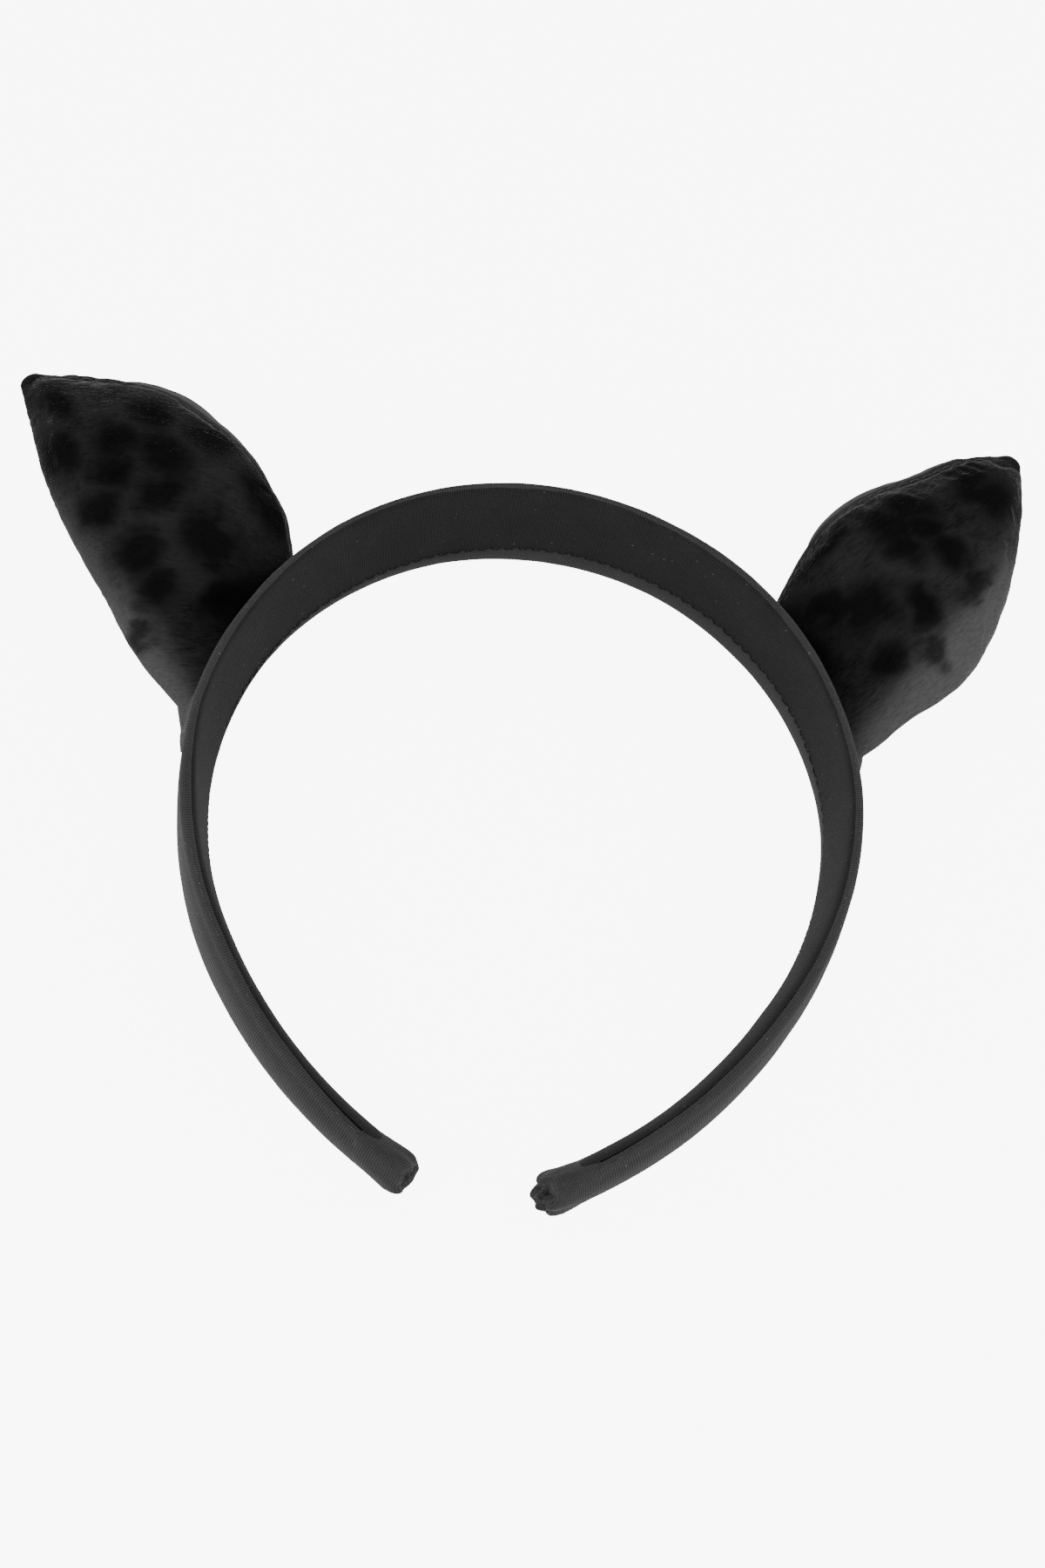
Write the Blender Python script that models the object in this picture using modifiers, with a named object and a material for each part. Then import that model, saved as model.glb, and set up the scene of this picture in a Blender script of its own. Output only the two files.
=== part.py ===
"""Animal ears headband, lying on the back edge of its band.

Metres. X runs across the head, +Y towards the crown of the band and +Z towards the front of
the head, so the band's back edge lies in the plane Z = 0. A station is a distance along the
band from the middle of the crown: positive on the +X side, negative on the -X side.
The band is one springy strip. It is divided at the two flex lines, so that its arms can turn.
"""
import math

import bmesh
import bpy
from mathutils import Vector

# The band's centre line: arc lengths and radii from the middle of the crown to a tip.
BAND_ARCS = ((0.030, 0.0681), (0.040, 0.0661), (0.040, 0.0713), (0.040, 0.0810), (0.060, 0.1066))
BAND_HALF_LENGTH = sum(length for length, _ in BAND_ARCS)
INNER_FACE = -0.0034  # out from the centre line
OUTER_FACE = 0.00225
BAND_WIDTH_CROWN = 0.0260
BAND_WIDTH_TIP = 0.0098
BAND_TAPER_POWER = 1.4
CROWN_PLACE = (0.0079, 0.0597)  # X and Y of the centre line at the middle of the crown

# The band's layers.
CLOTH = 0.0005
GAP = 0.0003
CORE_THICKNESS = 0.0014
EDGE_ROUND = 0.0015
BACK_HEM_SHARE = 0.21  # of the band's width
FRONT_HEM = 0.0016
THREAD_RADIUS = 0.00035
RING_STEP = 0.0062

# Each arm bends from the crown at a flex line.
FLEX_STATION = 0.028
FLEX_GAP = 0.0012

# Tips: a folded end of cloth makes a pocket round the end of the core.
TIP_WRAP_LENGTH = 0.0060
CORE_END_MARGIN = 0.0016

# Ears: the station of the base's middle and its height above the band's back edge, the lean
# towards the crown, and how far each edge is from the straight line between base and tip, at
# even steps along that line.
EARS = {
    "left": {
        "side": -1,
        "station": 0.0785,
        "base_up": 0.0100,
        "lean": math.radians(22.0),
        "length": 0.0770,
        "crown_edge": (0.0233, 0.0282, 0.0292, 0.0301, 0.0287, 0.0249, 0.0154, 0.0022),
        "outer_edge": (0.0208, 0.0197, 0.0168, 0.0152, 0.0135, 0.0108, 0.0065, 0.0022),
    },
    "right": {
        "side": 1,
        "station": 0.0690,
        "base_up": 0.0103,
        "lean": math.radians(25.7),
        "length": 0.0757,
        "crown_edge": (0.0196, 0.0213, 0.0223, 0.0233, 0.0217, 0.0165, 0.0115, 0.0022),
        "outer_edge": (0.0201, 0.0214, 0.0235, 0.0224, 0.0196, 0.0154, 0.0099, 0.0022),
    },
}
EAR_RAISE = math.radians(7)
EAR_BASE_HALF_THICKNESS = 0.0050
EAR_TIP_HALF_THICKNESS = 0.0022
EAR_FRONT_PUFF = 0.53
EAR_BACK_PUFF = 0.39
EAR_BASE_CLEARANCE = 0.0035
EAR_PANEL = 0.0006
STUFFING_INSET = 0.0014
EAR_RINGS = 14
SEAM_CROWN_SIDE = math.radians(25)
SEAM_OUTER_SIDE = math.radians(200)
SEAM_GAP = 0.0008
FLANGE_CROWN_REACH = 0.0195
FLANGE_TAIL_REACH = 0.0285
FLANGE_TAPER = 0.0090
FLANGE_HALF_WIDTH = 0.0042
FLANGE_RIDGE_HEIGHT = 0.0026
FLANGE_STITCH_LINE = 0.0022


# ---------------------------------------------------------------- the scene and materials

def clear_scene():
    for old in list(bpy.data.objects):
        bpy.data.objects.remove(old, do_unlink=True)


def make_material(name, colour, roughness):
    material = bpy.data.materials.new(name)
    material.use_nodes = True
    shader = material.node_tree.nodes["Principled BSDF"]
    shader.inputs["Base Color"].default_value = (*colour, 1.0)
    shader.inputs["Roughness"].default_value = roughness
    shader.inputs["Metallic"].default_value = 0.0
    return material


def add_object(name, mesh, material, collection):
    mesh.materials.append(material)
    made = bpy.data.objects.new(name, mesh)
    collection.objects.link(made)
    return made


# ---------------------------------------------------------------- places along the band

def band_width(station):
    """The band's width, front to back."""
    share = min(abs(station) / BAND_HALF_LENGTH, 1.0)
    return BAND_WIDTH_CROWN - (BAND_WIDTH_CROWN - BAND_WIDTH_TIP) * share ** BAND_TAPER_POWER


def back_hem(station):
    """How far the cover is folded over the back edge, onto the inner face."""
    return BACK_HEM_SHARE * band_width(station)


def band_frame(station):
    """The centre line's place, its outward normal and its direction towards the crown, at Z = 0."""
    side = -1.0 if station < 0 else 1.0
    left_over = abs(station)
    x, y, heading = 0.0, 0.0, 0.0
    for length, radius in BAND_ARCS:
        step = min(left_over, length)
        turned = heading + step / radius
        x += radius * (math.sin(turned) - math.sin(heading))
        y += radius * (math.cos(turned) - math.cos(heading))
        heading = turned
        left_over -= step
    place = Vector((CROWN_PLACE[0] + side * x, CROWN_PLACE[1] + y, 0.0))
    outward = Vector((side * math.sin(heading), math.cos(heading), 0.0))
    crownward = Vector((-side * math.cos(heading), math.sin(heading), 0.0))
    return place, outward, crownward


def band_point(station, out, up):
    """A point out from the centre line and up from the back edge."""
    place, outward, _ = band_frame(station)
    return place + outward * out + Vector((0.0, 0.0, up))


def stations(start, end):
    count = max(2, math.ceil(abs(end - start) / RING_STEP))
    return [start + (end - start) * i / count for i in range(count + 1)]


# ---------------------------------------------------------------- meshes from sections

def rounded_outline(out_low, out_high, up_low, up_high, radius, corner_steps=2):
    """(out, up) points round a rectangle with rounded corners."""
    radius = min(radius, (out_high - out_low) * 0.49, (up_high - up_low) * 0.49)
    corners = (
        (out_low + radius, up_low + radius, 180),
        (out_high - radius, up_low + radius, 270),
        (out_high - radius, up_high - radius, 0),
        (out_low + radius, up_high - radius, 90),
    )
    points = []
    for out, up, first in corners:
        for i in range(corner_steps + 1):
            angle = math.radians(first + 90 * i / corner_steps)
            points.append((out + radius * math.cos(angle), up + radius * math.sin(angle)))
    return points


def cap_ring(mesh, ring):
    """Faces across a ring, joining each point to the one opposite, so that a bent ring is followed."""
    count = len(ring)
    for i in range(count // 2):
        corners = (ring[i], ring[i + 1], ring[count - i - 1], ring[(count - i) % count])
        mesh.faces.new(tuple(dict.fromkeys(corners)))


def mesh_from_rows(name, rows, closed_rows, bent_caps=False):
    """A surface through rows of points; closed rows are rings, capped to make a solid."""
    mesh = bmesh.new()
    made = [[mesh.verts.new(point) for point in row] for row in rows]
    columns = len(rows[0]) if closed_rows else len(rows[0]) - 1
    for first, second in zip(made, made[1:]):
        for i in range(columns):
            j = (i + 1) % len(first)
            mesh.faces.new((first[i], first[j], second[j], second[i]))
    for ring in (made[0], made[-1]) if closed_rows else ():
        if bent_caps:
            cap_ring(mesh, ring)
        else:
            mesh.faces.new(ring)
    bmesh.ops.recalc_face_normals(mesh, faces=mesh.faces)
    data = bpy.data.meshes.new(name)
    mesh.to_mesh(data)
    mesh.free()
    data.shade_smooth()
    data.set_sharp_from_angle(angle=math.radians(35))
    return data


def make_solid(name, rings, material, collection, bent_caps=False):
    return add_object(name, mesh_from_rows(name, rings, True, bent_caps), material, collection)


def make_shell(name, rows, thickness, faces_towards, material, collection):
    """An open sheet, thickened away from the side that faces the given point."""
    data = mesh_from_rows(name, rows, False)
    middle = data.polygons[len(data.polygons) // 2]
    if middle.normal.dot(faces_towards - middle.center) < 0:
        data.flip_normals()
    shell = add_object(name, data, material, collection)
    solidify = shell.modifiers.new("Thickness", "SOLIDIFY")
    solidify.thickness = thickness
    solidify.offset = -1.0
    solidify.use_even_offset = True
    return shell


def make_tube(name, points, radius, material, collection):
    """A thread along a line of points."""
    curve = bpy.data.curves.new(name, "CURVE")
    curve.dimensions = "3D"
    curve.bevel_depth = radius
    curve.bevel_resolution = 1
    curve.use_fill_caps = True
    spline = curve.splines.new("POLY")
    spline.points.add(len(points) - 1)
    for target, point in zip(spline.points, points):
        target.co = (*point, 1.0)
    curve.materials.append(material)
    made = bpy.data.objects.new(name, curve)
    collection.objects.link(made)
    return made


# ---------------------------------------------------------------- the band's layers

def band_solid(name, span, section, material, collection):
    """A solid layer of the band; section(station) gives its (out, up) outline."""
    rings = [[band_point(s, out, up) for out, up in section(s)] for s in stations(*span)]
    return make_solid(name, rings, material, collection)


def core_section(station):
    inner = INNER_FACE + CLOTH + GAP
    margin = CLOTH + 2 * GAP
    return rounded_outline(inner, inner + CORE_THICKNESS, margin, band_width(station) - margin, 0.0006, 1)


def padding_section(station):
    inner = INNER_FACE + CLOTH + 2 * GAP + CORE_THICKNESS
    outer = OUTER_FACE - CLOTH - GAP
    margin = CLOTH + 2 * GAP
    return rounded_outline(inner, outer, margin, band_width(station) - margin, 0.0007, 1)


def lining_section(station):
    low, high = back_hem(station) + GAP, band_width(station) - FRONT_HEM - GAP
    under = INNER_FACE + CLOTH
    return [(INNER_FACE, low), (under, low), (under, high), (INNER_FACE, high)]


def outer_outline(station):
    """The outline of the whole band."""
    return rounded_outline(INNER_FACE, OUTER_FACE, 0.0, band_width(station), EDGE_ROUND)


def cover_path(station):
    """The cover's outer face: from the back hem, round the outside, to the front hem."""
    hem_ends = (INNER_FACE, back_hem(station)), (INNER_FACE, band_width(station) - FRONT_HEM)
    return [hem_ends[0], *outer_outline(station), hem_ends[1]]


def make_cover(name, span, material, collection):
    rows = [[band_point(s, out, up) for out, up in cover_path(s)] for s in stations(*span)]
    middle = (span[0] + span[1]) / 2
    outside = band_point(middle, 20 * OUTER_FACE, band_width(middle) / 2)
    return make_shell(name, rows, CLOTH, outside, material, collection)


def make_hem_thread(name, span, material, collection):
    """The seam thread, lying along the edge of the back hem on the inner face."""
    out = INNER_FACE - GAP - THREAD_RADIUS
    points = [band_point(s, out, back_hem(s)) for s in stations(*span)]
    return make_tube(name, points, THREAD_RADIUS, material, collection)


def tip_pocket(station):
    """The outline of the hollow that holds the end of the core."""
    inner = INNER_FACE + CLOTH
    margin = CLOTH + GAP
    outer = inner + 2 * GAP + CORE_THICKNESS
    return rounded_outline(inner, outer, margin, band_width(station) - margin, 0.0006)


def drawn_in(outline, share):
    """An outline drawn in towards the middle of the tip's section."""
    middle = ((INNER_FACE + OUTER_FACE) / 2, BAND_WIDTH_TIP / 2)
    return [tuple(m + (value - m) * share for value, m in zip(point, middle)) for point in outline]


def make_tip_wrap(name, side, material, collection):
    """The folded cloth on a tip: a cup whose pocket holds the end of the core."""
    mouth = BAND_HALF_LENGTH - TIP_WRAP_LENGTH
    floor = BAND_HALF_LENGTH - CORE_END_MARGIN + GAP
    rings = [(floor, tip_pocket(floor)), (mouth, tip_pocket(mouth)), (mouth, outer_outline(mouth))]
    # Distance from the end, and how much of the full outline is left there.
    for margin, share in ((0.0022, 1.0), (0.0010, 0.93), (0.0003, 0.78), (0.0, 0.55)):
        station = BAND_HALF_LENGTH - margin
        rings.append((station, drawn_in(outer_outline(station), share)))
    rows = [[band_point(side * s, out, up) for out, up in outline] for s, outline in rings]
    return make_solid(name, rows, material, collection)


# ---------------------------------------------------------------- the ears

def smooth_value(values, share):
    """A smooth curve through evenly spaced values."""
    last = len(values) - 1
    ends = (2 * values[0] - values[1], *values, 2 * values[last] - values[last - 1])
    i = min(int(share * last), last - 1)
    t = share * last - i
    a, b, c, d = ends[i:i + 4]
    bend, twist = 2 * a - 5 * b + 4 * c - d, 3 * b - a - 3 * c + d
    return (2 * b + (c - a) * t + bend * t ** 2 + twist * t ** 3) / 2


class Ear:
    """The places on one ear. A share runs from 0 at the base to 1 at the tip, and an angle goes
    round a section: 0 towards the crown, 90 degrees to the front and 180 degrees away."""

    def __init__(self, side, station, base_up, lean, length, crown_edge, outer_edge):
        self.side, self.station, self.length = side, station * side, length
        self.base_up, self.crown_edge, self.outer_edge = base_up, crown_edge, outer_edge
        self.hinge = band_point(self.station, OUTER_FACE, self.base_up)
        _, self.outward, self.crownward = band_frame(self.station)
        flat = self.outward * math.cos(lean) + self.crownward * math.sin(lean)
        self.spine = flat * math.cos(EAR_RAISE) + Vector((0, 0, math.sin(EAR_RAISE)))
        self.across = self.crownward * math.cos(lean) - self.outward * math.sin(lean)
        self.base_radius = self.radius_at(station)

    @staticmethod
    def radius_at(station):
        for length, radius in BAND_ARCS:
            station -= length
            if station < 0:
                return radius + OUTER_FACE
        return BAND_ARCS[-1][1]

    def half_width(self, share):
        return (smooth_value(self.crown_edge, share) + smooth_value(self.outer_edge, share)) / 2

    def half_thickness(self, share, puff):
        """Thin at the sewn base, then in proportion to the width."""
        rise = min(share / 0.35, 1.0)
        rise = rise * rise * (3 - 2 * rise)
        puffed = max(puff * self.half_width(share), EAR_TIP_HALF_THICKNESS)
        return EAR_BASE_HALF_THICKNESS * (1 - rise) + puffed * rise

    def point(self, share, angle, inset=0.0):
        """A point on the ear's surface, or inset within it."""
        turn = min(share / 0.35, 1.0)
        across = (self.crownward * (1 - turn) + self.across * turn).normalized()
        front = across.cross(self.spine).normalized()
        if front.z < 0:
            front.negate()
        middle = self.hinge + self.outward * EAR_BASE_CLEARANCE
        middle += self.spine * (self.length - EAR_BASE_CLEARANCE) * share
        shift = (smooth_value(self.crown_edge, share) - smooth_value(self.outer_edge, share)) / 2
        puff = EAR_FRONT_PUFF if math.sin(angle) > 0 else EAR_BACK_PUFF
        along = (self.half_width(share) - inset) * math.cos(angle)
        depth = (self.half_thickness(share, puff) - inset) * math.sin(angle)
        # The base follows the round of the band.
        sag = along ** 2 / (2 * self.base_radius) * max(0.0, 1 - share / 0.3) ** 2
        return middle + across * (along + shift) + front * depth - self.outward * sag


def ear_rows(ear, first_angle, last_angle, columns, last_share, gap=0.0, inset=0.0):
    """Rows of points between two angles, stopping short of each by a gap."""
    rows = []
    for i in range(EAR_RINGS + 1):
        share = last_share * math.sin(math.pi / 2 * i / EAR_RINGS)
        short = gap / ear.half_width(share)
        first, sweep = first_angle + short, last_angle - first_angle - 2 * short
        rows.append([ear.point(share, first + sweep * j / columns, inset) for j in range(columns + 1)])
    return rows


def make_ear_panel(name, ear, first_angle, last_angle, material, collection):
    rows = ear_rows(ear, first_angle, last_angle, 10, 0.985, gap=SEAM_GAP)
    outside = ear.point(0.5, (first_angle + last_angle) / 2, inset=-0.1)
    return make_shell(name, rows, EAR_PANEL, outside, material, collection)


def make_stuffing(name, ear, material, collection):
    columns = 16
    rows = ear_rows(ear, 0.0, 2 * math.pi, columns, 0.93, inset=STUFFING_INSET)
    return make_solid(name, [row[:-1] for row in rows], material, collection, bent_caps=True)


def make_edge_thread(name, ear, material, collection):
    """The stitching over the seam of the ear, up one side, round the tip and down the other."""
    outset = -(GAP + 1.6 * THREAD_RADIUS)
    shares = [0.05 + 0.95 * math.sin(math.pi / 2 * i / 12) for i in range(13)]
    points = [ear.point(share, SEAM_CROWN_SIDE, outset) for share in shares]
    points.append((points[-1] + ear.point(1.0, SEAM_OUTER_SIDE, outset)) / 2 + ear.spine * 0.0010)
    points += [ear.point(share, SEAM_OUTER_SIDE, outset) for share in reversed(shares)]
    return make_tube(name, points, THREAD_RADIUS, material, collection)


def make_flange(name, ear, material, collection):
    """The ear's seam allowance, glued flat on the cover with its folded ridge standing up, and
    running on past the ear's outer corner as a narrowing tail."""
    foot = OUTER_FACE + GAP
    top = foot + EAR_PANEL
    rings = []
    count = 12
    for i in range(count + 1):
        along = -FLANGE_CROWN_REACH + (FLANGE_CROWN_REACH + FLANGE_TAIL_REACH) * i / count
        taper = min((FLANGE_TAIL_REACH - along) / FLANGE_TAPER, 1.0)
        half = FLANGE_HALF_WIDTH * (0.4 + 0.6 * taper)
        ridge = EAR_PANEL * (0.7 + 0.3 * taper)
        crest = top + 0.0004 + (FLANGE_RIDGE_HEIGHT - 0.0013) * taper
        outline = ((foot, -half), (foot, half), (top, half), (top, ridge),
                   (crest, ridge), (crest, -ridge), (top, -ridge), (top, -half))
        station = ear.station + ear.side * along
        rings.append([band_point(station, out, ear.base_up + up) for out, up in outline])
    return make_solid(name, rings, material, collection)


def make_flange_thread(name, ear, material, collection):
    """The thread that sews the flange down, along its front, round its crown end and back."""
    out = OUTER_FACE + GAP + EAR_PANEL + GAP + THREAD_RADIUS
    reach, line = FLANGE_CROWN_REACH + 0.0010, FLANGE_STITCH_LINE
    along = [reach * (1 - i / 5) for i in range(11)]
    round_end = (-reach - 0.0016, 0.0)
    route = [(s, line) for s in along] + [round_end] + [(s, -line) for s in reversed(along)]
    points = [band_point(ear.station + ear.side * s, out, ear.base_up + up) for s, up in route]
    return make_tube(name, points, THREAD_RADIUS * 0.8, material, collection)


# ---------------------------------------------------------------- the whole headband

def main():
    clear_scene()
    headband = bpy.data.collections.new("animal_ears_headband")
    bpy.context.scene.collection.children.link(headband)
    ribbon = make_material("ribbon", (0.018, 0.018, 0.019), 0.55)
    plastic = make_material("core_plastic", (0.03, 0.03, 0.03), 0.45)
    foam = make_material("padding_foam", (0.06, 0.06, 0.06), 0.9)
    velvet = make_material("ear_velvet", (0.015, 0.015, 0.016), 0.8)
    satin = make_material("ear_satin", (0.03, 0.03, 0.032), 0.35)
    filling = make_material("stuffing", (0.75, 0.75, 0.73), 0.95)
    thread = make_material("thread", (0.01, 0.01, 0.01), 0.5)

    flex = FLEX_STATION
    crown_span = (-flex + FLEX_GAP / 2, flex - FLEX_GAP / 2)
    spans = {"crown": crown_span}
    for word, side in (("left", -1), ("right", 1)):
        spans[word] = (side * (flex + FLEX_GAP / 2), side * (BAND_HALF_LENGTH - TIP_WRAP_LENGTH - GAP))
    for word, span in spans.items():
        core_end = span[1]
        if word != "crown":
            core_end = math.copysign(BAND_HALF_LENGTH - CORE_END_MARGIN, span[1])
        band_solid(f"core_{word}", (span[0], core_end), core_section, plastic, headband)
        band_solid(f"padding_{word}", span, padding_section, foam, headband)
        band_solid(f"lining_{word}", span, lining_section, ribbon, headband)
        make_cover(f"cover_{word}", span, ribbon, headband)
        make_hem_thread(f"hem_thread_{word}", span, thread, headband)

    for word, facts in EARS.items():
        ear = Ear(**facts)
        make_tip_wrap(f"tip_wrap_{word}", ear.side, ribbon, headband)
        make_flange(f"ear_flange_{word}", ear, velvet, headband)
        make_flange_thread(f"flange_thread_{word}", ear, thread, headband)
        make_ear_panel(f"ear_front_{word}", ear, SEAM_CROWN_SIDE, SEAM_OUTER_SIDE, velvet, headband)
        full_turn = SEAM_CROWN_SIDE + 2 * math.pi
        make_ear_panel(f"ear_back_{word}", ear, SEAM_OUTER_SIDE, full_turn, satin, headband)
        make_stuffing(f"ear_stuffing_{word}", ear, filling, headband)
        make_edge_thread(f"ear_edge_thread_{word}", ear, thread, headband)


main()
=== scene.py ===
"""Looks of the animal ears headband: a padded band in ribbed ribbon with two stuffed velvet ears.

Metres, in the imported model's frame: the band lies on its back edge in the plane Z = 0, +Y runs
towards its crown and +Z towards its front edge. A station is a distance along the band from the
middle of the crown, positive on the +X side.
"""

import math
import random

import bmesh
import bpy
import numpy as np
from mathutils import Matrix, Vector, noise


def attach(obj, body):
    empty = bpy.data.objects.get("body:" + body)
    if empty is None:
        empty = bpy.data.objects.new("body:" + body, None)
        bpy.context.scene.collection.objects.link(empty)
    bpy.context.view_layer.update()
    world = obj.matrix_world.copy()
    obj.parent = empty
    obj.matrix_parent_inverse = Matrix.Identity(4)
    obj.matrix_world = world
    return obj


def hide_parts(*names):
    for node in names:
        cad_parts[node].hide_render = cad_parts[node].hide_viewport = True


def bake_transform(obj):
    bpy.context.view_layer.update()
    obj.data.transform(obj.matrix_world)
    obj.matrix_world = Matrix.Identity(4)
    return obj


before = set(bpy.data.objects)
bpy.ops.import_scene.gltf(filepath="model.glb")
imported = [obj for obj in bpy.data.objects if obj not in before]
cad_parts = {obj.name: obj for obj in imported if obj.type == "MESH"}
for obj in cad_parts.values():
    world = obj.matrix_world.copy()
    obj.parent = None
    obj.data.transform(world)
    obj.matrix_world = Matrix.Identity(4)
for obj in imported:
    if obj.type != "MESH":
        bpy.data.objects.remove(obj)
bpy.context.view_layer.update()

MM = 0.001

# The band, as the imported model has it.
BAND_ARCS = ((0.030, 0.0681), (0.040, 0.0661), (0.040, 0.0713), (0.040, 0.0810), (0.060, 0.1066))
BAND_HALF_LENGTH = sum(length for length, _ in BAND_ARCS)
BAND_HALF = 0.00225
BAND_WIDTH_CROWN = 0.0260
BAND_WIDTH_TIP = 0.0098
BAND_TAPER_POWER = 1.4
CROWN_PLACE = (0.0079, 0.0597)
FLEX_START, FLEX_END = 0.006, 0.050

# How far each layer of the band runs from the middle of the crown.
CORE_END = 0.2060
COVER_END = 0.2045
PADDING_END = 0.2030
LINING_END = 0.2025
STITCHES_END = 0.2015

TUBE_SIDES = 6
THREAD_RADIUS = 0.22 * MM
SEAM_THREAD_RADIUS = 0.20 * MM
HEM_PITCH = 1.55 * MM
# The shortest and longest stitch and gap along the ears' seams (mm).
SEAM_STITCH = (2.0, 2.7)
SEAM_STITCH_GAP = (0.35, 0.6)

EARS = {
    "left": {
        "side": -1,
        "station": 0.0785,
        "base_up": 0.0100,
        "lean": math.radians(22.0),
        "length": 0.0770,
        "crown_edge": (0.0233, 0.0282, 0.0292, 0.0301, 0.0287, 0.0249, 0.0154, 0.0022),
        "outer_edge": (0.0208, 0.0197, 0.0168, 0.0152, 0.0135, 0.0108, 0.0065, 0.0022),
        # Where the crown-side seam is round the section, in degrees, from the base to the tip.
        "seam": (16, 18, 22, 29, 38, 44, 50, 58),
        "nap": math.radians(53),
        "seed": 3,
        # Dark blotches of the pile: place across and along the ear, radii (mm) and turn (degrees).
        "blotches": (
            (-8.1, 54.0, 2.7, 5.0, 0), (2.4, 48.5, 3.2, 3.8, 0), (-2.9, 42.2, 2.6, 3.8, 15),
            (8.6, 40.0, 3.9, 5.2, 0), (2.4, 31.9, 4.6, 3.3, 0), (-9.2, 37.2, 3.2, 3.0, 0),
            (20.2, 38.5, 3.8, 4.3, 0), (12.4, 50.0, 2.8, 3.2, 0), (-8.7, 24.6, 4.3, 3.8, 0),
            (-9.8, 15.6, 4.3, 3.2, 0), (5.2, 18.6, 4.8, 6.2, 0), (22.0, 21.7, 2.4, 5.6, 0),
            (-17.5, 10.3, 2.2, 2.2, 0), (-1.4, 64.0, 2.0, 4.6, 0), (0.5, 8.0, 4.0, 2.4, 10),
        ),
    },
    "right": {
        "side": 1,
        "station": 0.0690,
        "base_up": 0.0103,
        "lean": math.radians(25.7),
        "length": 0.0757,
        "crown_edge": (0.0196, 0.0213, 0.0223, 0.0233, 0.0217, 0.0165, 0.0115, 0.0022),
        "outer_edge": (0.0201, 0.0214, 0.0235, 0.0224, 0.0196, 0.0154, 0.0099, 0.0022),
        "seam": (16, 18, 22, 29, 37, 42, 47, 55),
        "nap": math.radians(10),
        "seed": 8,
        "blotches": (
            (-4.8, 60.0, 3.7, 4.0, 0), (3.0, 61.0, 3.7, 3.5, 0), (-0.3, 57.2, 3.2, 2.8, 0),
            (9.1, 44.4, 5.2, 3.7, 0), (8.6, 37.2, 5.6, 3.8, 0), (2.4, 33.9, 3.8, 3.2, 0),
            (-5.9, 40.0, 3.8, 2.7, -10), (-9.8, 25.0, 4.4, 2.8, 20), (0.2, 18.6, 4.8, 4.7, 0),
            (6.9, 14.4, 4.8, 3.3, -20), (16.3, 26.7, 2.2, 4.8, 0), (-10.9, 11.7, 3.3, 3.2, 0),
            (-17.0, 18.9, 2.6, 2.2, -30), (-14.8, 38.0, 1.8, 5.0, 0), (1.3, 41.0, 2.7, 2.5, 0),
        ),
    },
}
EAR_RAISE = math.radians(7)
BASE_CLEARANCE = 0.0035
BASE_HALF_THICKNESS = 0.0050
TIP_HALF_THICKNESS = 0.0021
FRONT_PUFF = 0.53
BACK_PUFF = 0.39
SEAM_OUTER = math.radians(200)

# The main view, from the side of the tips and well above them.
CAMERA_PLACE = (-0.01207, -0.22458, 0.40542)
CAMERA_RIGHT = (0.98946, 0.09979, 0.10495)
CAMERA_UP = (-0.13804, 0.86897, 0.47522)
CAMERA_LENS = 50.0
SENSOR_WIDTH = 36.0

WORLD_STRENGTH = 0.50
KEY_POWER = 2.4
FILL_POWER = 0.6
SIDE_POWER = 1.2
PAPER_GLOW = 8.0
FLOOR_HALF = 3.0
BACKDROP_RADIUS = 2.8


# ---------------------------------------------------------------- camera, floor and light

def make_camera():
    camera = bpy.data.objects.new("camera", bpy.data.cameras.new("camera"))
    bpy.context.scene.collection.objects.link(camera)
    right, up = Vector(CAMERA_RIGHT), Vector(CAMERA_UP)
    back = right.cross(up).normalized()
    up = back.cross(right).normalized()
    turn = Matrix((right.normalized(), up, back)).transposed().to_4x4()
    camera.matrix_world = Matrix.Translation(CAMERA_PLACE) @ turn
    camera.data.lens = CAMERA_LENS
    camera.data.sensor_width = SENSOR_WIDTH
    camera.data.clip_start = 0.01
    bpy.context.scene.camera = camera


def area_light(name, place, aim, size, power):
    lamp = bpy.data.lights.new(name, "AREA")
    lamp.shape = "DISK"
    lamp.size = size
    lamp.energy = power
    made = bpy.data.objects.new(name, lamp)
    made.location = place
    made.rotation_euler = (Vector(aim) - Vector(place)).to_track_quat("-Z", "Y").to_euler()
    bpy.context.scene.collection.objects.link(made)


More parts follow.
